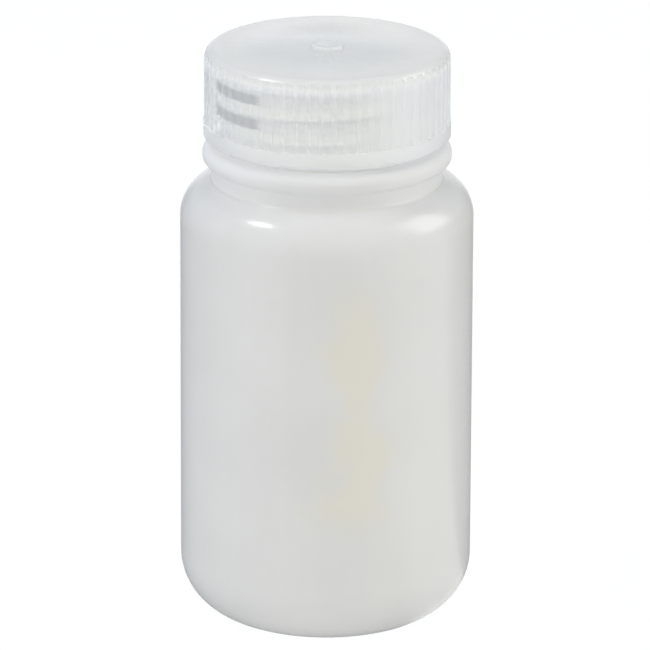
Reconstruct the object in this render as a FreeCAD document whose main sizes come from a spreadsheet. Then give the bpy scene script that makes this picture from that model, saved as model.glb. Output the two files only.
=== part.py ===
# Wide-mouth reagent bottle with a ribbed screw cap and a sealing disc.
# Millimetres. The origin is the centre of the base, +Z points up through the mouth,
# and -Y is the front.

import FreeCAD, Part
import math
import os
import re
import Sketcher

# Driving dimensions
sizes = {
    # Body of the bottle
    "body_diameter": 50.0,       # outside
    "body_wall": 1.2,            # side, heel and shoulder
    "heel_radius": 10.4,         # round between side and base, outside
    "side_top": 71.0,            # height where the straight side ends
    "shoulder_radius": 6.4,      # round above the side, outside
    "shoulder_slope": 15.5,      # degrees, of the cone from that round in to the waist
    "standing_width": 2.1,       # flat ring that the bottle stands on
    "recess_height": 2.0,        # rise of the push-up inside that ring
    "base_thickness": 1.4,       # floor at its centre
    "pinch_length": 16.0,        # pinch-off line across the push-up
    "pinch_width": 0.8,
    "pinch_depth": 0.4,          # how far it stands out of the push-up
    # Neck of the bottle
    "neck_diameter": 35.0,       # outside, between the turns of the ridge
    "neck_wall": 2.0,
    "neck_height": 14.53,        # bead up to the lip
    "lip_round": 0.5,
    "waist_step": 1.9,           # waist outside the neck, all round
    "waist_height": 2.85,        # shoulder up to the bead
    "waist_round": 0.9,          # hollow round where the shoulder meets the waist
    "throat_wall": 2.0,          # waist in to the throat, where the neck opens into the body
    "bead_reach": 1.8,           # bead outside the waist, all round
    "bead_height": 3.4,
    "bead_round": 1.6,
    # Thread
    "thread_pitch": 4.2333,      # six turns to the inch
    "thread_depth": 1.15,        # height of both ridges
    "thread_play": 0.35,         # crest of a ridge to the wall of the other piece
    "flank_play": 0.15,          # between the loaded flanks
    "ridge_sink": 0.4,           # how deep a ridge is rooted in its wall
    "run_out_angle": 35.0,       # turn over which a ridge rises from its wall
    "neck_ridge_width": 2.7,     # at the root
    "neck_crest_width": 1.3,
    "neck_turns": 1.89,
    "neck_ridge_angle": -4.0,    # where its lower end is, round from +X
    "lip_land": 1.9,             # lip down to its upper end
    "cap_ridge_width": 2.5,      # at the root
    "cap_turns": 1.8,
    "cap_land": 1.9,             # edge of the skirt up to its lower end
    # Cap
    "skirt_wall": 1.88,          # over the ribs
    "skirt_gap": 1.2,            # bead up to the edge of the skirt
    "roof_thickness": 1.4,
    "cap_corner": 1.6,           # round between roof and side
    "rim_step": 0.14,            # plain band at the foot, outside the ribs
    "rim_height": 2.9,
    "rim_chamfer": 0.6,          # outer foot of the band
    "lead_in": 0.5,              # inner foot of the skirt
    "rib_count": 60,
    "rib_depth": 0.35,
    "rib_width": 0.55,           # at the crest
    "rib_foot_width": 0.95,
    "boss_diameter": 5.6,        # gate boss on the roof
    "boss_height": 0.7,
    "boss_round": 0.4,
    "dimple_diameter": 3.2,      # gate mark in the boss
    "dimple_depth": 0.3,
    "retainer_catch": 0.35,      # how far the ring in the cap reaches under the disc
    "retainer_height": 0.6,
    "retainer_drop": 0.1,        # disc down to that ring
    # Sealing disc
    "disc_thickness": 0.8,
    "disc_play": 0.3,            # disc to the wall around it
    "disc_chamfer": 0.15,
}

# Sizes that follow from the driving dimensions and that several features share
shared = {
    "body_radius": "body_diameter / 2",
    "inner_radius": "body_radius - body_wall",
    "heel_centre": "body_radius - heel_radius",
    "recess_radius": "heel_centre - standing_width",
    "recess_curve": "(recess_radius ^ 2 + recess_height ^ 2) / (2 * recess_height)",
    "floor_rise": "recess_height + base_thickness - body_wall",
    "floor_curve": "(heel_centre ^ 2 + floor_rise ^ 2) / (2 * floor_rise)",
    "neck_radius": "neck_diameter / 2",
    "mouth_radius": "neck_radius - neck_wall",
    "waist_radius": "neck_radius + waist_step",
    "bead_radius": "waist_radius + bead_reach",
    "shoulder_centre": "body_radius - shoulder_radius",
    "cone_start": "shoulder_centre + shoulder_radius * sin(shoulder_slope)",
    "shoulder_end": "max(cone_start; waist_radius + waist_round)",
    "shoulder_rise": "sqrt(shoulder_radius ^ 2 - (shoulder_end - shoulder_centre) ^ 2)",
    "shoulder_run": "shoulder_end - waist_radius",
    "shoulder_top": "side_top + shoulder_rise + shoulder_run * tan(shoulder_slope)",
    "inner_share": "1 - body_wall / shoulder_radius",
    "inner_end": "shoulder_centre + inner_share * (shoulder_end - shoulder_centre)",
    "throat_radius": "waist_radius - throat_wall",
    "throat_rise": "throat_wall * tan(shoulder_slope) - body_wall / cos(shoulder_slope)",
    "throat_foot": "shoulder_top + throat_rise",
    "bead_foot": "shoulder_top + waist_height",
    "bead_top": "bead_foot + bead_height",
    "lip": "bead_top + neck_height",
    "thread_radius": "neck_radius + thread_depth",
    "skirt_radius": "thread_radius + thread_play",
    "flank_slope": "(neck_ridge_width - neck_crest_width) / (2 * thread_depth)",
    "flank_overlap": "flank_slope * (thread_depth + thread_play)",
    "ridge_spacing": "(neck_ridge_width + cap_ridge_width) / 2 - flank_overlap + flank_play",
    "neck_ridge_foot": "lip - lip_land - neck_turns * thread_pitch",
    "cap_foot": "bead_top + skirt_gap",
    "cap_roof": "lip + disc_thickness",
    "cap_top": "cap_roof + roof_thickness",
    "cap_radius": "skirt_radius + skirt_wall",
    "rim_radius": "cap_radius + rim_step",
    "rim_top": "cap_foot + rim_height",
    "valley_radius": "cap_radius - rib_depth",
    "clear_radius": "cap_radius + rib_depth",
    "boss_radius": "boss_diameter / 2",
    "boss_top": "cap_top + boss_height",
    "dimple_radius": "dimple_diameter / 2",
    "dimple_curve": "(dimple_radius ^ 2 + dimple_depth ^ 2) / (2 * dimple_depth)",
    "disc_radius": "skirt_radius - disc_play",
    "retainer_top": "lip - retainer_drop",
    "retainer_foot": "retainer_top - retainer_height",
    "retainer_radius": "disc_radius - retainer_catch",
}

SECTION_ANGLE = 12.0     # turn between two sections of a thread ridge
OUT = 1                  # an arc that bulges to the right of its direction
BACK = -1                # and one that bulges to the left


def fill_sheet():
    sheet = doc.addObject("Spreadsheet::Sheet", "Sizes")
    for row, (name, value) in enumerate(sizes.items(), start=1):
        sheet.set(f"A{row}", name.replace("_", " "))
        sheet.set(f"B{row}", str(value))
        sheet.setAlias(f"B{row}", name)
    doc.recompute()
    return sheet


def bound(formula):
    # The formula with each name written out down to cells of the sheet.
    def swap(match):
        word = match.group()
        if word in sizes:
            return "Sizes." + word
        if word in shared:
            return "(" + bound(shared[word]) + ")"
        return word
    return re.sub("[a-z_]+", swap, formula)


def size(formula):
    # The formula's value on the sheet.
    return float(sheet.evalExpression(bound(formula)))


def new_sketch(body, name, role, height=None):
    sketch = body.newObject("Sketcher::SketchObject", name)
    plane = [feature for feature in body.Origin.OriginFeatures if feature.Role == role][0]
    sketch.AttachmentSupport = [(plane, "")]
    sketch.MapMode = "FlatFace"
    if height:
        sketch.setExpression("AttachmentOffset.Base.z", bound(height))
    return sketch


def place_point(sketch, edge, end, across, along):
    # Ties one end of an edge to formulas for its two coordinates.
    for kind, formula, axis in (("DistanceX", across, -2), ("DistanceY", along, -1)):
        if formula == "0":
            sketch.addConstraint(Sketcher.Constraint("PointOnObject", edge, end, axis))
        else:
            distance = Sketcher.Constraint(kind, -1, 1, edge, end, size(formula))
            index = sketch.addConstraint(distance)
            sketch.setExpression(f"Constraints[{index}]", bound(formula))


def arc_between(start, finish, radius, bulge):
    chord = finish - start
    half = chord.Length / 2
    side = FreeCAD.Vector(chord.y, -chord.x, 0).normalize()
    rise = radius - math.sqrt(max(radius ** 2 - half ** 2, 0.0))
    return Part.Arc(start, (start + finish) / 2 + side * rise * bulge, finish)


def draw_outline(sketch, points):
    # A closed outline. A point is (across, along), with a straight edge to the next point,
    # or (across, along, radius, bulge), with an arc to the next point.
    spots = [FreeCAD.Vector(size(point[0]), size(point[1]), 0) for point in points]
    edges = []
    for index, point in enumerate(points):
        start = spots[index]
        finish = spots[(index + 1) % len(points)]
        if len(point) == 2:
            curve = Part.LineSegment(start, finish)
        else:
            curve = arc_between(start, finish, size(point[2]), point[3])
        edge = sketch.addGeometry(curve, False)
        forward = sketch.getPoint(edge, 1).isEqual(start, 1e-6)
        edges.append((edge, 1, 2) if forward else (edge, 2, 1))
    for index, point in enumerate(points):
        edge, first, last = edges[index]
        next_edge, next_first, next_last = edges[(index + 1) % len(points)]
        sketch.addConstraint(Sketcher.Constraint("Coincident", edge, last, next_edge, next_first))
        place_point(sketch, edge, first, point[0], point[1])
        if len(point) > 2:
            radius = sketch.addConstraint(Sketcher.Constraint("Radius", edge, size(point[2])))
            sketch.setExpression(f"Constraints[{radius}]", bound(point[2]))


def turned(name, points):
    # A body turned about Z from a half section, across = radius and along = height.
    body = doc.addObject("PartDesign::Body", name)
    sketch = new_sketch(body, name + "_section", "XZ_Plane")
    draw_outline(sketch, points)
    turn = body.newObject("PartDesign::Revolution", name + "_turned")
    turn.Profile = sketch
    turn.ReferenceAxis = (sketch, ["V_Axis"])
    turn.Angle = 360.0
    doc.recompute()
    return body


def round_rings(body, name, rings, radius):
    # Rounds the circular edges of the body that have these radii and heights.
    base = body.Tip
    names = []
    for number, edge in enumerate(base.Shape.Edges, start=1):
        if edge.Degenerated or not isinstance(edge.Curve, Part.Circle):
            continue
        for across, along in rings:
            same_radius = math.isclose(edge.Curve.Radius, size(across), abs_tol=1e-4)
            same_height = math.isclose(edge.Curve.Center.z, size(along), abs_tol=1e-4)
            if same_radius and same_height:
                names.append(f"Edge{number}")
    fillet = body.newObject("PartDesign::Fillet", name)
    fillet.Base = (base, names)
    fillet.setExpression("Radius", bound(radius))
    doc.recompute()


def thread_ridge(name, root, outward, width, foot, angle, turns):
    # A ridge wound to the right on a wall of radius root. Its height rises from nothing at
    # both ends, and outward is 1 on the neck and -1 inside the cap.
    run_out = size("run_out_angle")
    slope = size("flank_slope")
    depth = size("thread_depth")
    sink = size("ridge_sink")
    pitch = size("thread_pitch")
    whole = 360.0 * turns
    count = math.ceil(whole / SECTION_ANGLE)
    sections = []
    for index in range(count + 1):
        turn = whole * index / count
        share = min(turn, whole - turn, run_out) / run_out
        height = depth * math.sin(share * math.pi / 2) - sink / 4 * (1 - share)
        middle = foot + pitch * turn / 360.0
        corners = []
        for level, side in ((-sink, -1), (height, -1), (height, 1), (-sink, 1)):
            reach = root + outward * level
            spread = side * (width / 2 - slope * max(level, 0.0))
            corner = FreeCAD.Vector(reach, 0, middle + spread)
            corners.append(corner)
        section = Part.makePolygon(corners + corners[:1])
        section.rotate(FreeCAD.Vector(), FreeCAD.Vector(0, 0, 1), angle + turn)
        sections.append(section)
    ridge = doc.addObject("Part::Feature", name)
    ridge.Shape = Part.makeLoft(sections, True, False)
    return ridge


def joined(name, body, ridge):
    piece = doc.addObject("Part::Fuse", name)
    piece.Base = body
    piece.Tool = ridge
    return piece


def make_bottle():
    body = turned("bottle_wall", [
        ("0", "recess_height", "recess_curve", BACK),
        ("recess_radius", "0"),
        ("heel_centre", "0", "heel_radius", OUT),
        ("body_radius", "heel_radius"),
        ("body_radius", "side_top", "shoulder_radius", OUT),
        ("shoulder_end", "side_top + shoulder_rise"),
        ("waist_radius", "shoulder_top"),
        ("waist_radius", "bead_foot"),
        ("bead_radius", "bead_foot"),
        ("bead_radius", "bead_top"),
        ("neck_radius", "bead_top"),
        ("neck_radius", "lip"),
        ("mouth_radius", "lip"),
        ("mouth_radius", "bead_top"),
        ("throat_radius", "throat_foot"),
        ("inner_end", "side_top + inner_share * shoulder_rise", "shoulder_radius - body_wall", BACK),
        ("inner_radius", "side_top"),
        ("inner_radius", "heel_radius", "heel_radius - body_wall", BACK),
        ("heel_centre", "body_wall", "floor_curve", OUT),
        ("0", "recess_height + base_thickness"),
    ])
    round_rings(body, "bead_edges", [("bead_radius", "bead_foot"), ("bead_radius", "bead_top")],
                "min(bead_round; 0.45 * bead_height; 0.9 * bead_reach)")
    round_rings(body, "lip_edges", [("neck_radius", "lip"), ("mouth_radius", "lip")],
                "min(lip_round; 0.4 * neck_wall)")
    round_rings(body, "waist_edge", [("waist_radius", "shoulder_top")],
                "min(waist_round; 0.8 * waist_height)")

    # The pinch-off line follows the dome of the push-up.
    low = "recess_curve - pinch_depth"
    high = "recess_curve + base_thickness / 2"
    low_end = f"recess_height - recess_curve + sqrt(({low}) ^ 2 - (pinch_length / 2) ^ 2)"
    high_end = f"recess_height - recess_curve + sqrt(({high}) ^ 2 - (pinch_length / 2) ^ 2)"
    pinch = new_sketch(body, "pinch_outline", "XZ_Plane")
    draw_outline(pinch, [
        ("-pinch_length / 2", low_end, low, BACK),
        ("pinch_length / 2", low_end),
        ("pinch_length / 2", high_end, high, OUT),
        ("-pinch_length / 2", high_end),
    ])
    line = body.newObject("PartDesign::Pad", "pinch_line")
    line.Profile = pinch
    line.SideType = "Symmetric"
    line.setExpression("Length", bound("pinch_width"))
    doc.recompute()

    ridge = thread_ridge("neck_ridge", size("neck_radius"), 1, size("neck_ridge_width"),
                         size("neck_ridge_foot"), size("neck_ridge_angle"), size("neck_turns"))
    return joined("bottle", body, ridge)


def make_cap():
    body = turned("cap_wall", [
        ("0", "boss_top - dimple_depth", "dimple_curve", OUT),
        ("dimple_radius", "boss_top"),
        ("boss_radius - boss_round", "boss_top", "boss_round", BACK),
        ("boss_radius", "boss_top - boss_round"),
        ("boss_radius", "cap_top"),
        ("cap_radius - cap_corner", "cap_top", "cap_corner", BACK),
        ("cap_radius", "cap_top - cap_corner"),
        ("cap_radius", "rim_top"),
        ("rim_radius", "rim_top"),
        ("rim_radius", "cap_foot + rim_chamfer"),
        ("rim_radius - rim_chamfer", "cap_foot"),
        ("skirt_radius + lead_in", "cap_foot"),
        ("skirt_radius", "cap_foot + lead_in"),
        ("skirt_radius", "retainer_foot"),
        ("retainer_radius", "retainer_foot + retainer_height / 2"),
        ("skirt_radius", "retainer_top"),
        ("skirt_radius", "cap_roof"),
        ("0", "cap_roof"),
    ])

    # The cap ridge runs below the neck ridge, on the same helix.
    foot = size("cap_foot + cap_land")
    climbed = (foot + size("ridge_spacing") - size("neck_ridge_foot")) / size("thread_pitch")
    ridge = thread_ridge("cap_ridge", size("skirt_radius"), -1, size("cap_ridge_width"),
                         foot, size("neck_ridge_angle") + 360.0 * climbed, size("cap_turns"))
    blank = joined("plain_cap", body, ridge)
    doc.recompute()

    # One valley between two ribs, from the rim up through the rounded corner.
    cap = doc.addObject("PartDesign::Body", "screw_cap")
    cap.BaseFeature = blank
    doc.recompute()
    floor = "pi * valley_radius / rib_count - rib_foot_width / 2"
    brim = "pi * clear_radius / rib_count - rib_width + rib_foot_width / 2"
    valley = new_sketch(cap, "valley_outline", "XY_Plane", "rim_top")
    draw_outline(valley, [
        (f"sqrt(valley_radius ^ 2 - ({floor}) ^ 2)", f"-({floor})", "valley_radius", OUT),
        (f"sqrt(valley_radius ^ 2 - ({floor}) ^ 2)", floor),
        ("clear_radius", brim),
        ("clear_radius", f"-({brim})"),
    ])
    cut = cap.newObject("PartDesign::Pocket", "valley")
    cut.Profile = valley
    cut.Type = "ThroughAll"
    cut.Reversed = True
    doc.recompute()
    valleys = cap.newObject("PartDesign::PolarPattern", "valleys")
    valleys.Originals = [cut]
    valleys.Axis = (valley, ["N_Axis"])
    valleys.Angle = 360.0
    valleys.setExpression("Occurrences", bound("rib_count"))
    cap.Tip = valleys
    doc.recompute()
    return cap


def make_disc():
    return turned("sealing_disc", [
        ("0", "lip"),
        ("disc_radius - disc_chamfer", "lip"),
        ("disc_radius", "lip + disc_chamfer"),
        ("disc_radius", "cap_roof - disc_chamfer"),
        ("disc_radius - disc_chamfer", "cap_roof"),
        ("0", "cap_roof"),
    ])


doc = FreeCAD.newDocument("ReagentBottle")
sheet = fill_sheet()
pieces = [make_bottle(), make_cap(), make_disc()]
doc.recompute()

for item in doc.Objects:
    if "Invalid" in item.State or "Error" in item.State:
        raise RuntimeError(f"{item.Name} failed: {item.State}")
for piece in pieces:
    shape = piece.Shape
    if shape.isNull() or not shape.isValid() or len(shape.Solids) != 1:
        raise RuntimeError(f"{piece.Label} is not one valid solid")

os.makedirs("parts", exist_ok=True)
for piece in pieces:
    piece.Shape.exportStep(f"parts/{piece.Label}.step")
    box = piece.Shape.BoundBox
    print(f"{piece.Label}: {piece.Shape.Volume / 1000:.2f} cm3, z {box.ZMin:.2f} to {box.ZMax:.2f}")
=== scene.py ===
import math
import bpy
from mathutils import Matrix, Vector

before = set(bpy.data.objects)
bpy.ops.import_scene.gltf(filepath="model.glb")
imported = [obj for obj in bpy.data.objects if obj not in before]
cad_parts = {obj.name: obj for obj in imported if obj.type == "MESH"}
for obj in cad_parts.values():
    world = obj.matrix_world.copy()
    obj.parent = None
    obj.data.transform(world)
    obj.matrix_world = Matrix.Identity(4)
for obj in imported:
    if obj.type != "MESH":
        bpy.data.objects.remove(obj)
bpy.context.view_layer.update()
scene = bpy.context.scene
scene.view_settings.view_transform = "Standard"
print("frame loaded")


def newMaterial(name):
    mat = bpy.data.materials.new(name)
    mat.use_nodes = True
    mat.node_tree.nodes.clear()
    return mat, mat.node_tree


def addNode(tree, kind, **values):
    node = tree.nodes.new(kind)
    for name, value in values.items():
        setattr(node, name, value)
    return node


def feed(tree, socket, value):
    # a number or colour is set, a socket is linked
    if isinstance(value, (int, float, tuple)):
        socket.default_value = value
    else:
        tree.links.new(value, socket)


def newGroup(name, inputs, outputs):
    group = bpy.data.node_groups.new(name, "ShaderNodeTree")
    for label, kind in inputs:
        group.interface.new_socket(label, in_out="INPUT", socket_type="NodeSocket" + kind)
    for label, kind in outputs:
        group.interface.new_socket(label, in_out="OUTPUT", socket_type="NodeSocket" + kind)
    return group, group.nodes.new("NodeGroupInput"), group.nodes.new("NodeGroupOutput")


def placeGroup(tree, group, settings):
    node = addNode(tree, "ShaderNodeGroup", node_tree=group)
    for label, value in settings.items():
        node.inputs[label].default_value = value
    return node


def maths(tree, operation, first, second=0.0, third=0.0):
    node = addNode(tree, "ShaderNodeMath", operation=operation)
    for socket, value in zip(node.inputs, (first, second, third)):
        feed(tree, socket, value)
    return node.outputs[0]


def times(tree, first, second):
    return maths(tree, "MULTIPLY", first, second)


def timesPlus(tree, first, second, third):
    return maths(tree, "MULTIPLY_ADD", first, second, third)


def spread(tree, value, span, first=0.0, last=1.0):
    # soft step: first below the span, last above it
    node = addNode(tree, "ShaderNodeMapRange", interpolation_type="SMOOTHSTEP")
    labels = ("Value", "From Min", "From Max", "To Min", "To Max")
    for label, number in zip(labels, (value, *span, first, last)):
        feed(tree, node.inputs[label], number)
    return node.outputs["Result"]


def blendValue(tree, share, first, second):
    node = addNode(tree, "ShaderNodeMix", data_type="FLOAT")
    for index, value in ((0, share), (2, first), (3, second)):
        feed(tree, node.inputs[index], value)
    return node.outputs[0]


def blendColour(tree, share, first, second):
    node = addNode(tree, "ShaderNodeMix", data_type="RGBA")
    for index, value in ((0, share), (6, first), (7, second)):
        feed(tree, node.inputs[index], value)
    return node.outputs[2]


def noise(tree, vector, scale, detail=2.0, roughness=0.5):
    node = addNode(tree, "ShaderNodeTexNoise")
    labels = ("Vector", "Scale", "Detail", "Roughness")
    for label, value in zip(labels, (vector, scale, detail, roughness)):
        feed(tree, node.inputs[label], value)
    return node.outputs["Fac"]


def objectPlace(tree):
    return addNode(tree, "ShaderNodeTexCoord").outputs["Object"]


def stretched(tree, vector, scale, rotation=(0.0, 0.0, 0.0)):
    node = addNode(tree, "ShaderNodeMapping")
    feed(tree, node.inputs["Vector"], vector)
    node.inputs["Rotation"].default_value = rotation
    node.inputs["Scale"].default_value = scale
    return node.outputs["Vector"]


def bumpFrom(tree, height, bump, normal=None):
    strength, distance = bump
    node = addNode(tree, "ShaderNodeBump")
    node.inputs["Strength"].default_value = strength
    node.inputs["Distance"].default_value = distance
    feed(tree, node.inputs["Height"], height)
    if normal:
        feed(tree, node.inputs["Normal"], normal)
    return node.outputs["Normal"]


def axisNodes(tree):
    # distance from the axis, height, and turn round the axis
    apart = addNode(tree, "ShaderNodeSeparateXYZ")
    feed(tree, apart.inputs[0], objectPlace(tree))
    x, y, z = apart.outputs
    radius = maths(tree, "SQRT", maths(tree, "ADD", times(tree, x, x), times(tree, y, y)))
    return radius, z, maths(tree, "ARCTAN2", y, x)


def threadClimb(tree, height, turn, pitch):
    # goes from 0 to 1 between one ridge of the thread and the next, all along its helix
    climb = timesPlus(tree, turn, -0.5 / math.pi, maths(tree, "DIVIDE", height, pitch))
    return maths(tree, "FRACT", maths(tree, "ADD", climb, 0.5))


skinMake = {
    "cloudDetail": (3.0, 0.45),               # detail and roughness of the noise
    "streakScale": (420.0, 420.0, 9.0),
    "grainDetail": 2.5,
    "toneSpan": (0.36, 0.86),
    "grainSpan": (0.32, 0.68),
    "streakHeight": 1.6,
}


def makeMouldedSkin():
    # cloudy wall, fine satin grain and soft flow streaks along the axis
    group, start, end = newGroup(
        "mouldedSkin",
        [("Pale", "Color"), ("Deep", "Color"), ("Cloud Scale", "Float"), ("Grain Scale", "Float"),
         ("Streak Share", "Float"), ("Shine", "Float"), ("Dullness", "Float")],
        [("Colour", "Color"), ("Roughness", "Float"), ("Height", "Float")])
    given = start.outputs
    place = objectPlace(group)
    clouds = noise(group, place, given["Cloud Scale"], *skinMake["cloudDetail"])
    streaks = noise(group, stretched(group, place, skinMake["streakScale"]), 1.0)
    grain = noise(group, place, given["Grain Scale"], skinMake["grainDetail"])
    streaked = times(group, streaks, given["Streak Share"])
    tone = spread(group, maths(group, "ADD", clouds, streaked), skinMake["toneSpan"])
    feed(group, end.inputs["Colour"], blendColour(group, tone, given["Pale"], given["Deep"]))
    feed(group, end.inputs["Roughness"],
         spread(group, grain, skinMake["grainSpan"], given["Shine"], given["Dullness"]))
    feed(group, end.inputs["Height"], timesPlus(group, streaked, skinMake["streakHeight"], grain))
    return group


def makeAxisPlace():
    # where a point is round the axis, for masks
    labels = ("Radius", "Height", "Turn")
    group, _, end = newGroup("axisPlace", [], [(label, "Float") for label in labels])
    for label, value in zip(labels, axisNodes(group)):
        feed(group, end.inputs[label], value)
    return group


scuffMake = {
    "patchDetail": 3.0,
    "patchSpan": (0.5, 0.72),
    "lineDetail": 1.0,
    "lineSpan": (0.70, 0.78),
    # slant and stretch of each set of lines
    "lines": (((0.5, 0.3, 0.0), (3200.0, 3200.0, 260.0)),
              ((-0.8, -0.48, 0.0), (2700.0, 2700.0, 330.0)),
              ((1.3, 0.78, 0.0), (2400.0, 2400.0, 210.0))),
}


def makeScuffs():
    # short hairline scratches from bench and hands, thin and far between
    group, start, end = newGroup(
        "fineScuffs", [("Scale", "Float"), ("Amount", "Float")], [("Mask", "Float")])
    place = objectPlace(group)
    patches = noise(group, place, start.outputs["Scale"], scuffMake["patchDetail"])
    patches = spread(group, patches, scuffMake["patchSpan"])
    lines = 0.0
    for slant, scale in scuffMake["lines"]:
        turned = stretched(group, place, (1.0, 1.0, 1.0), slant)
        line = noise(group, stretched(group, turned, scale), 1.0, scuffMake["lineDetail"])
        lines = maths(group, "MAXIMUM", spread(group, line, scuffMake["lineSpan"]), lines)
    feed(group, end.inputs["Mask"], times(group, times(group, patches, lines), start.outputs["Amount"]))
    return group


mouldedSkin = makeMouldedSkin()
axisPlace = makeAxisPlace()
fineScuffs = makeScuffs()
print("finishes made")


def finishMaterial(tree, surface, letThrough, clearInside=False):
    # lamps and bounced light go on through the milky wall, the lens sees its surface
    path = addNode(tree, "ShaderNodeLightPath")
    bounced = maths(tree, "MAXIMUM", path.outputs["Is Shadow Ray"], path.outputs["Is Diffuse Ray"])
    if clearInside:
        bounced = maths(tree, "MAXIMUM", bounced, path.outputs["Is Glossy Ray"])
    clear = addNode(tree, "ShaderNodeBsdfTransparent")
    mixed = addNode(tree, "ShaderNodeMixShader")
    feed(tree, mixed.inputs[0], times(tree, bounced, letThrough))
    feed(tree, mixed.inputs[1], surface.outputs[0])
    feed(tree, mixed.inputs[2], clear.outputs[0])
    out = addNode(tree, "ShaderNodeOutputMaterial")
    feed(tree, out.inputs["Surface"], mixed.outputs[0])


def milkySurface(tree, look):
    surface = addNode(tree, "ShaderNodeBsdfPrincipled")
    surface.inputs["IOR"].default_value = look["ior"]
    surface.inputs["Subsurface Weight"].default_value = 1.0
    surface.inputs["Subsurface Radius"].default_value = (1.0, 1.0, 1.0)
    surface.inputs["Subsurface Scale"].default_value = look["depth"]
    return surface


# satin natural polyethylene, blow-moulded: a parting line down both sides
bottleLook = {
    "skin": {"Pale": (0.814, 0.798, 0.746, 1.0), "Deep": (0.786, 0.770, 0.720, 1.0),
             "Cloud Scale": 55.0, "Grain Scale": 2600.0, "Streak Share": 0.22,
             "Shine": 0.18, "Dullness": 0.24},
    "ior": 1.5,
    "depth": 0.0012,                          # how far light wanders in the wall
    "letThrough": 0.92,
    "grainBump": (0.10, 0.0002),              # strength, distance
    "scuffs": {"Scale": 90.0, "Amount": 0.7},
    "scuffRough": 0.04,
    "scuffSink": -0.3,
    "seamWidth": 0.00016,
    "seamBump": (0.35, 0.00008),
    "warm": (0.80, 0.785, 0.725, 1.0),        # faint yellowing of the resin
    "warmStretch": (34.0, 34.0, 14.0),
    "warmSpan": (0.48, 0.72),
    "warmShare": 0.55,
    "stain": (0.824, 0.790, 0.672, 1.0),      # from what the bottle held
    "stainTurn": -1.37,
    "stainWide": (0.022, 0.042),              # wider below these heights
    "stainWider": -0.09,
    "stainNoise": (95.0, 4.0, 0.62),
    "stainRagged": 0.75,
    "stainSpan": (0.36, 0.66),
    "stainShare": 0.8,
    "stainFoot": (0.019, 0.028),
    "stainTop": (0.058, 0.070),
    "beadFoot": (0.0774, 0.0779),             # in the crease of the waist
    "beadTop": (0.0838, 0.0846),
    "beadDull": 0.45,                         # bead and waist are rougher
    "beadSideLight": (0.845, 0.829, 0.770, 1.0),   # and painted lighter at the sides, where light shines through
    "beadSides": (0.25, 0.75),
    "beadShares": (0.1, 0.95),
    "neckFoot": (0.0838, 0.0860),
    # the neck inside the cap is painted paler, a painted lift against the cap's shade
    "neckLitColour": (0.93, 0.903, 0.825, 1.0),
    "pitch": 0.0042333,                       # rise of the thread in one turn
    "threadShade": (0.60, 0.59, 0.555, 1.0),
    "shadeRise": (0.05, 0.58),                # shares of the pitch
    "shadeFall": (0.62, 0.70),
    "shadeShare": 0.62,
}


def stainMask(tree, spot, height, turn):
    # a pale streak of stain that ran down the front
    look = bottleLook
    aside = maths(tree, "ABSOLUTE", maths(tree, "SUBTRACT", turn, look["stainTurn"]))
    aside = maths(tree, "ADD", aside, spread(tree, height, look["stainWide"], look["stainWider"], 0.0))
    ragged = timesPlus(tree, noise(tree, spot, *look["stainNoise"]), look["stainRagged"], aside)
    streak = spread(tree, ragged, look["stainSpan"], look["stainShare"], 0.0)
    streak = times(tree, streak, spread(tree, height, look["stainFoot"]))
    return times(tree, streak, spread(tree, height, look["stainTop"], 1.0, 0.0))


def dressBottle():
    look = bottleLook
    mat, tree = newMaterial("bottlePolyethylene")
    skin = placeGroup(tree, mouldedSkin, look["skin"])
    place = placeGroup(tree, axisPlace, {})
    height, turn = place.outputs["Height"], place.outputs["Turn"]
    scuffs = placeGroup(tree, fineScuffs, look["scuffs"]).outputs["Mask"]
    surface = milkySurface(tree, look)
    spot = objectPlace(tree)

    yellowed = noise(tree, stretched(tree, spot, look["warmStretch"]), 1.0, 1.0)
    yellowed = spread(tree, yellowed, look["warmSpan"], 0.0, look["warmShare"])
    tone = blendColour(tree, yellowed, skin.outputs["Colour"], look["warm"])
    tone = blendColour(tree, stainMask(tree, spot, height, turn), tone, look["stain"])
    bead = times(tree, spread(tree, height, look["beadFoot"]),
                 spread(tree, height, look["beadTop"], 1.0, 0.0))
    # painted light: the bead's sides are made paler, standing in for light shining through them
    sides = maths(tree, "ABSOLUTE", maths(tree, "COSINE", turn))
    litSides = times(tree, bead, spread(tree, sides, look["beadSides"], *look["beadShares"]))
    tone = blendColour(tree, litSides, tone, look["beadSideLight"])
    # painted light: the neck under the cap is made paler, to lift it out of the cap's shade
    neck = spread(tree, height, look["neckFoot"])
    tone = blendColour(tree, neck, tone, look["neckLitColour"])
    # under each ridge of the thread the neck is in shade, and the cap lets a little of that show
    climb = threadClimb(tree, height, turn, look["pitch"])
    shaded = times(tree, spread(tree, climb, look["shadeRise"], 0.0, look["shadeShare"]),
                   spread(tree, climb, look["shadeFall"], 1.0, 0.0))
    tone = blendColour(tree, times(tree, shaded, neck), tone, look["threadShade"])
    feed(tree, surface.inputs["Base Color"], tone)

    rough = timesPlus(tree, scuffs, look["scuffRough"], skin.outputs["Roughness"])
    feed(tree, surface.inputs["Roughness"], timesPlus(tree, bead, look["beadDull"], rough))
    normal = bumpFrom(tree, skin.outputs["Height"], look["grainBump"])
    apart = addNode(tree, "ShaderNodeSeparateXYZ")
    feed(tree, apart.inputs[0], spot)
    seam = spread(tree, maths(tree, "ABSOLUTE", apart.outputs[1]), (0.0, look["seamWidth"]), 1.0, 0.0)
    marks = timesPlus(tree, scuffs, look["scuffSink"], seam)
    feed(tree, surface.inputs["Normal"], bumpFrom(tree, marks, look["seamBump"], normal))
    finishMaterial(tree, surface, look["letThrough"])
    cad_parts["bottle"].material_slots[0].material = mat
    print("bottle dressed")


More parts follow.
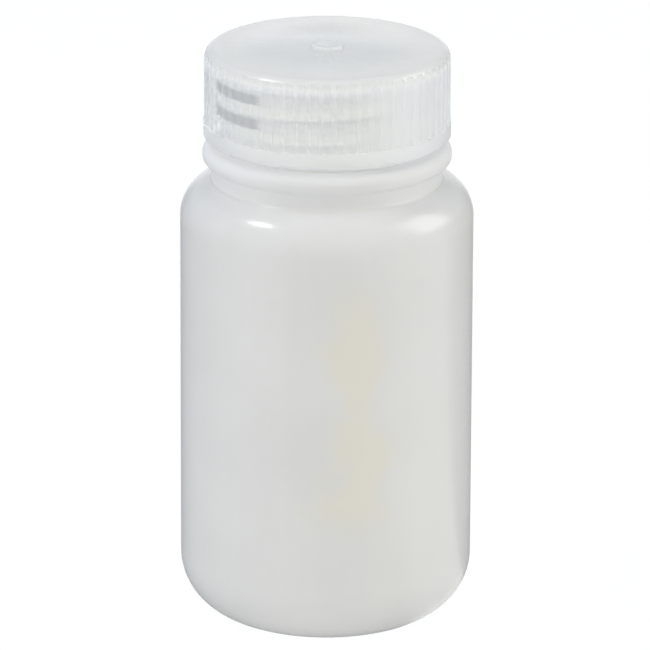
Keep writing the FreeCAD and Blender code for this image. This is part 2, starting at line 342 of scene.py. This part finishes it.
# clearer semi-gloss polypropylene: milky where thick, clearer between the ridges
capLook = {
    "skin": {"Pale": (0.99, 0.955, 0.82, 1.0), "Deep": (0.97, 0.935, 0.80, 1.0),
             "Cloud Scale": 90.0, "Grain Scale": 3400.0, "Streak Share": 0.10,
             "Shine": 0.35, "Dullness": 0.41},
    "ior": 1.49,
    "depth": 0.0046,
    "letThrough": 0.9,
    "grainBump": (0.02, 0.0002),
    "scuffs": {"Scale": 140.0, "Amount": 0.3},
    "scuffRough": 0.08,
    # the roof is painted darker than the skirt, a painted shade standing in for the light it gets from
    # above
    "roofEdgeShade": (0.782, 0.759, 0.674, 1.0),
    "roofMiddleShade": (0.680, 0.678, 0.626, 1.0),  # painted shade: less light comes up through the mouth
    "middleRadii": (0.008, 0.0175),
    "roundShade": (0.740, 0.720, 0.650, 1.0),   # rounded corner of the roof, painted darker to damp the highlight it catches
    "roundRadii": (0.0186, 0.0200),
    "shadeHeights": (0.0984, 0.0998),           # the roof's painted shade starts here
    "roofHeights": (0.0985, 0.0999),           # its flow lines here
    "glossHeights": (0.0988, 0.0991),          # and its gloss here
    "roofGloss": -0.15,
    "gateRadii": (0.0013, 0.0017),
    "gateDull": 0.35,
    "domeRadii": (0.004, 0.0200),              # the roof falls a little towards its edge
    "domeBump": (1.0, 0.0014),
    "flowRays": 9.0,
    "flowLength": 160.0,
    "flowRadii": (0.003, 0.016),
    "flowEnd": 0.25,
    "flowTint": 0.25,
    "flowBump": (0.12, 0.0003),
    "ribRadii": (0.02055, 0.02085),
    "valleyMilk": 0.55,                        # how far the wall hides what is behind it
    "ribMilk": 0.53,
    "glareSide": (0.1, 0.75),
    "glareMilk": 0.93,                         # milkier on this side, a painted glare standing in for the right lamp's reflection over the thread
    "ridgeRadii": (0.0184, 0.01895),
    "ridgeMilk": 0.9,
    "gapMilk": 0.05,
    "outerRadii": (0.0197, 0.0202),
    "milkyHeights": (0.0966, 0.0990),          # the roof hides all
    "mirrorRadii": (0.0195, 0.0197),
    "mirrorFoot": (0.0878, 0.0886),
    "mirrorTop": (0.0962, 0.0970),
    "mirrorRise": (0.03, 0.12),                # shares of the pitch
    "mirrorFall": (0.56, 0.68),
    "mirrorRough": 0.12,
    "pitch": 0.0042333,                        # rise of the thread in one turn
}


def flowRays(tree, radius, turn):
    # flow lines run out from the gate in the middle of the roof
    fan = addNode(tree, "ShaderNodeCombineXYZ")
    feed(tree, fan.inputs[0], times(tree, maths(tree, "SINE", turn), capLook["flowRays"]))
    feed(tree, fan.inputs[1], times(tree, maths(tree, "COSINE", turn), capLook["flowRays"]))
    feed(tree, fan.inputs[2], times(tree, radius, capLook["flowLength"]))
    return noise(tree, fan.outputs[0], 1.0)


def slantMirror(tree, surface):
    # between the ridges the inner face of the skirt mirrors at a slant, as clear plastic does
    look = capLook
    radius, height, turn = axisNodes(tree)
    gap = times(tree, spread(tree, radius, look["ridgeRadii"]),
                spread(tree, radius, look["mirrorRadii"], 1.0, 0.0))
    threaded = times(tree, spread(tree, height, look["mirrorFoot"]),
                     spread(tree, height, look["mirrorTop"], 1.0, 0.0))
    climb = threadClimb(tree, height, turn, look["pitch"])
    lowerHalf = times(tree, spread(tree, climb, look["mirrorRise"]),
                      spread(tree, climb, look["mirrorFall"], 1.0, 0.0))
    gap = times(tree, gap, times(tree, threaded, lowerHalf))
    slant = addNode(tree, "ShaderNodeFresnel")
    slant.inputs["IOR"].default_value = look["ior"]
    mirror = addNode(tree, "ShaderNodeBsdfGlossy")
    mirror.inputs["Roughness"].default_value = look["mirrorRough"]
    wall = addNode(tree, "ShaderNodeMixShader")
    feed(tree, wall.inputs[0], times(tree, slant.outputs[0], gap))
    feed(tree, wall.inputs[1], surface.outputs[0])
    feed(tree, wall.inputs[2], mirror.outputs[0])
    return wall


def dressCap():
    look = capLook
    mat, tree = newMaterial("capPolypropylene")
    skin = placeGroup(tree, mouldedSkin, look["skin"])
    place = placeGroup(tree, axisPlace, {})
    radius, height, turn = place.outputs
    scuffs = placeGroup(tree, fineScuffs, look["scuffs"]).outputs["Mask"]
    surface = milkySurface(tree, look)

    rays = flowRays(tree, radius, turn)
    onRoof = spread(tree, height, look["roofHeights"])
    # painted shade: the roof darker than the skirt and darker still over the mouth; the flow lines keep
    # the plastic's own colour
    roofShade = blendColour(tree, spread(tree, radius, look["middleRadii"], 1.0, 0.0),
                           look["roofEdgeShade"], look["roofMiddleShade"])
    roofShade = blendColour(tree, times(tree, rays, look["flowTint"]), roofShade, skin.outputs["Colour"])
    # painted shade on the rounded corner, to damp its highlight
    roofShade = blendColour(tree, spread(tree, radius, look["roundRadii"]), roofShade, look["roundShade"])
    tone = blendColour(tree, spread(tree, height, look["shadeHeights"]),
                       skin.outputs["Colour"], roofShade)
    feed(tree, surface.inputs["Base Color"], tone)

    rough = timesPlus(tree, scuffs, look["scuffRough"], skin.outputs["Roughness"])
    rough = maths(tree, "ADD", rough,
                  spread(tree, height, look["glossHeights"], 0.0, look["roofGloss"]))
    gate = times(tree, spread(tree, radius, look["gateRadii"], look["gateDull"], 0.0), onRoof)
    feed(tree, surface.inputs["Roughness"], maths(tree, "ADD", rough, gate))

    normal = bumpFrom(tree, skin.outputs["Height"], look["grainBump"])
    domed = times(tree, spread(tree, radius, look["domeRadii"], 1.0, 0.0), onRoof)
    normal = bumpFrom(tree, domed, look["domeBump"], normal)
    flow = times(tree, times(tree, rays, onRoof),
                 spread(tree, radius, look["flowRadii"], 1.0, look["flowEnd"]))
    feed(tree, surface.inputs["Normal"], bumpFrom(tree, flow, look["flowBump"], normal))

    ribs = spread(tree, radius, look["ribRadii"], look["valleyMilk"], look["ribMilk"])
    # painted glare: the +X side of the skirt is made milkier, standing in for the right lamp's glare
    # that hides the thread there
    glareSide = spread(tree, maths(tree, "COSINE", turn), look["glareSide"])
    ribs = blendValue(tree, glareSide, ribs, look["glareMilk"])
    ridges = spread(tree, radius, look["ridgeRadii"], look["ridgeMilk"], look["gapMilk"])
    skirt = blendValue(tree, spread(tree, radius, look["outerRadii"]), ridges, ribs)
    milk = blendValue(tree, spread(tree, height, look["milkyHeights"]), skirt, 1.0)
    feed(tree, surface.inputs["Alpha"], milk)
    finishMaterial(tree, slantMirror(tree, surface), look["letThrough"], True)
    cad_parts["screw_cap"].material_slots[0].material = mat
    print("cap dressed")


# matt polyethylene wad with the print of the bottle's lip in it
discLook = {
    "skin": {"Pale": (0.84, 0.845, 0.845, 1.0), "Deep": (0.80, 0.805, 0.81, 1.0),
             "Cloud Scale": 140.0, "Grain Scale": 4200.0, "Streak Share": 0.0,
             "Shine": 0.45, "Dullness": 0.6},
    "ior": 1.5,
    "depth": 0.0012,
    "letThrough": 0.5,
    "grainBump": (0.12, 0.0002),
    "printRadius": 0.0165,
    "printEdge": (0.0006, 0.0010),
    "printSink": -0.8,
    "printShine": 0.25,
    "printBump": (0.5, 0.0001),
}


def dressDisc():
    look = discLook
    mat, tree = newMaterial("discPolyethylene")
    skin = placeGroup(tree, mouldedSkin, look["skin"])
    radius = placeGroup(tree, axisPlace, {}).outputs["Radius"]
    surface = milkySurface(tree, look)
    feed(tree, surface.inputs["Base Color"], skin.outputs["Colour"])
    away = maths(tree, "ABSOLUTE", maths(tree, "SUBTRACT", radius, look["printRadius"]))
    pressed = spread(tree, away, look["printEdge"], look["printSink"], 0.0)
    feed(tree, surface.inputs["Roughness"],
         timesPlus(tree, pressed, look["printShine"], skin.outputs["Roughness"]))
    normal = bumpFrom(tree, skin.outputs["Height"], look["grainBump"])
    feed(tree, surface.inputs["Normal"], bumpFrom(tree, pressed, look["printBump"], normal))
    finishMaterial(tree, surface, look["letThrough"])
    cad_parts["sealing_disc"].material_slots[0].material = mat
    print("disc dressed")


# white sweep in a dim room
stageLook = {
    "floorSide": 6.0,
    "floorColour": 0.75,
    "floorSeen": 0.14,        # what the lens sees of the floor's own light and shade
    "floorWhite": 0.885,      # and the white under it
    "fill": 0.675,            # soft light from all round
    "fillAbove": 0.04,        # more of it from above
    "fillRight": 0.86,        # less of it on the lamp's side
    "rightWay": (0.1, 0.8),
    "white": (1.0, 1.0, 1.0, 1.0),
    "leftColour": (0.865, 0.965, 1.19, 1.0),
    "leftWay": (-0.8, 0.0),
    "aboveColour": (0.91, 0.98, 1.15, 1.0),
    "aboveWay": (0.0, 0.9),
    "side": 0.14,             # what gloss shows of the floor at the sides
    "room": 0.65,             # and of the room over it
    "sideColour": (0.82, 0.92, 1.06, 1.0),
    "roomRise": (0.0, 0.25),
    "wallAbove": 0.42,        # and of the wall behind, above the sweep
    "wallRise": (0.12, 0.34),
    "behindWay": (0.93, 0.985),
    "besideWay": (0.62, 0.90),
    "besideEnd": (0.2, 0.38),
}


def raysSeen(tree):
    # what the lens sees straight, and what it sees by way of gloss and glass
    path = addNode(tree, "ShaderNodeLightPath")
    mirrored = maths(tree, "MAXIMUM", path.outputs["Is Glossy Ray"],
                     path.outputs["Is Transmission Ray"])
    return path.outputs["Is Camera Ray"], mirrored


def sweepGlow(tree, way):
    # white behind the bottle and on the lamp's side, dim in between
    look = stageLook
    apart = addNode(tree, "ShaderNodeSeparateXYZ")
    feed(tree, apart.inputs[0], way)
    across, back, above = apart.outputs
    behind = spread(tree, back, look["behindWay"])
    beside = times(tree, spread(tree, across, look["besideWay"]),
                   spread(tree, back, look["besideEnd"], 1.0, 0.0))
    dim = spread(tree, above, look["roomRise"], look["side"], look["room"])
    glow = times(tree, blendValue(tree, behind, dim, 1.0),
                 spread(tree, above, look["wallRise"], 1.0, look["wallAbove"]))
    return maths(tree, "MAXIMUM", glow, beside), maths(tree, "MAXIMUM", behind, beside), across, above


def makeFloor():
    look = stageLook
    half = look["floorSide"] / 2
    corners = [(-half, -half, 0), (half, -half, 0), (half, half, 0), (-half, half, 0)]
    mesh = bpy.data.meshes.new("floor")
    mesh.from_pydata(corners, [], [(0, 1, 2, 3)])
    floor = bpy.data.objects.new("floor", mesh)
    scene.collection.objects.link(floor)
    mat, tree = newMaterial("paleFloor")
    straight, mirrored = raysSeen(tree)
    seen = maths(tree, "MAXIMUM", straight, mirrored)
    away = addNode(tree, "ShaderNodeVectorMath", operation="NORMALIZE")
    feed(tree, away.inputs[0], objectPlace(tree))
    glow = blendValue(tree, mirrored, 1.0, sweepGlow(tree, away.outputs[0])[0])
    matt = addNode(tree, "ShaderNodeBsdfDiffuse")
    feed(tree, matt.inputs["Color"], blendValue(tree, seen, look["floorColour"], look["floorSeen"]))
    white = addNode(tree, "ShaderNodeEmission")
    feed(tree, white.inputs["Strength"], times(tree, times(tree, seen, glow), look["floorWhite"]))
    both = addNode(tree, "ShaderNodeAddShader")
    feed(tree, both.inputs[0], matt.outputs[0])
    feed(tree, both.inputs[1], white.outputs[0])
    out = addNode(tree, "ShaderNodeOutputMaterial")
    feed(tree, out.inputs["Surface"], both.outputs[0])
    mesh.materials.append(mat)
    print("floor made")


def makeRoom():
    look = stageLook
    world = bpy.data.worlds.new("softRoom")
    world.use_nodes = True
    tree = world.node_tree
    tree.nodes.clear()
    straight, mirrored = raysSeen(tree)
    way = addNode(tree, "ShaderNodeTexCoord").outputs["Generated"]
    glow, sweep, across, above = sweepGlow(tree, way)
    soft = timesPlus(tree, above, look["fillAbove"], look["fill"])
    soft = times(tree, soft, spread(tree, across, look["rightWay"], 1.0, look["fillRight"]))
    level = maths(tree, "MAXIMUM", blendValue(tree, mirrored, soft, glow), straight)
    tint = blendColour(tree, spread(tree, across, look["leftWay"], 1.0, 0.0),
                       look["white"], look["leftColour"])
    tint = blendColour(tree, spread(tree, above, look["aboveWay"]), tint, look["aboveColour"])
    room = times(tree, mirrored, maths(tree, "SUBTRACT", 1.0, sweep))
    tint = blendColour(tree, room, tint, look["sideColour"])
    sky = addNode(tree, "ShaderNodeBackground")
    feed(tree, sky.inputs["Color"], blendColour(tree, straight, tint, look["white"]))
    feed(tree, sky.inputs["Strength"], level)
    out = addNode(tree, "ShaderNodeOutputWorld")
    feed(tree, out.inputs["Surface"], sky.outputs[0])
    scene.world = world
    print("room made")


lampAim = (0.0, 0.0, 0.07)    # the shoulder

# way to it from there, distance, width and height, watts, colour,
# whether it lights the bottle, whether gloss shows it
lamps = {
    "leftLamp": ((-0.57, -0.10, 0.81), 0.80, (0.15, 0.12), 1.3, (1.0, 1.0, 1.0), True, True),
    "rightLamp": ((0.80, -0.05, 0.60), 0.90, (0.24, 0.45), 1.5, (1.0, 0.985, 0.95), True, False),
    "rightSheen": ((0.846, 0.10, 0.523), 0.90, (0.55, 0.60), 3.3, (1.0, 0.99, 0.97), False, True),
    "frontLamp": ((0.0, -0.99, 0.06), 1.50, (1.20, 0.30), 4.0, (1.0, 0.975, 0.91), True, False),
}


def makeLamps():
    middle = Vector(lampAim)
    for name, (way, distance, size, watts, colour, lights, shows) in lamps.items():
        data = bpy.data.lights.new(name, "AREA")
        data.shape = "RECTANGLE"
        data.size, data.size_y = size
        data.energy = watts
        data.color = colour
        lamp = bpy.data.objects.new(name, data)
        lamp.location = middle + Vector(way).normalized() * distance
        lamp.rotation_euler = (middle - lamp.location).to_track_quat("-Z", "Y").to_euler()
        lamp.visible_diffuse = lights
        lamp.visible_glossy = shows
        scene.collection.objects.link(lamp)
    print("lamps made")


# the photo's angle, from a long lens
lens = {
    "elevation": 18.5,
    "distance": 1.190,
    "focal": 384.8,
    "sensor": 36.0,
    "clip": (0.05, 50.0),
    "aim": (-0.00024, 0.0, 0.05094),
    "roll": 0.23,
}


def makeCamera():
    data = bpy.data.cameras.new("camera")
    data.lens = lens["focal"]
    data.sensor_width = lens["sensor"]
    data.clip_start, data.clip_end = lens["clip"]
    camera = bpy.data.objects.new("camera", data)
    up = math.radians(lens["elevation"])
    back = Vector((0.0, -math.cos(up), math.sin(up)))
    turn = back.to_track_quat("Z", "Y").to_matrix().to_4x4()
    roll = Matrix.Rotation(math.radians(lens["roll"]), 4, "Z")
    place = Matrix.Translation(Vector(lens["aim"]) + back * lens["distance"])
    camera.matrix_world = place @ turn @ roll
    scene.collection.objects.link(camera)
    scene.camera = camera
    print("camera set")


dressBottle()
dressCap()
dressDisc()
makeFloor()
makeRoom()
makeLamps()
makeCamera()
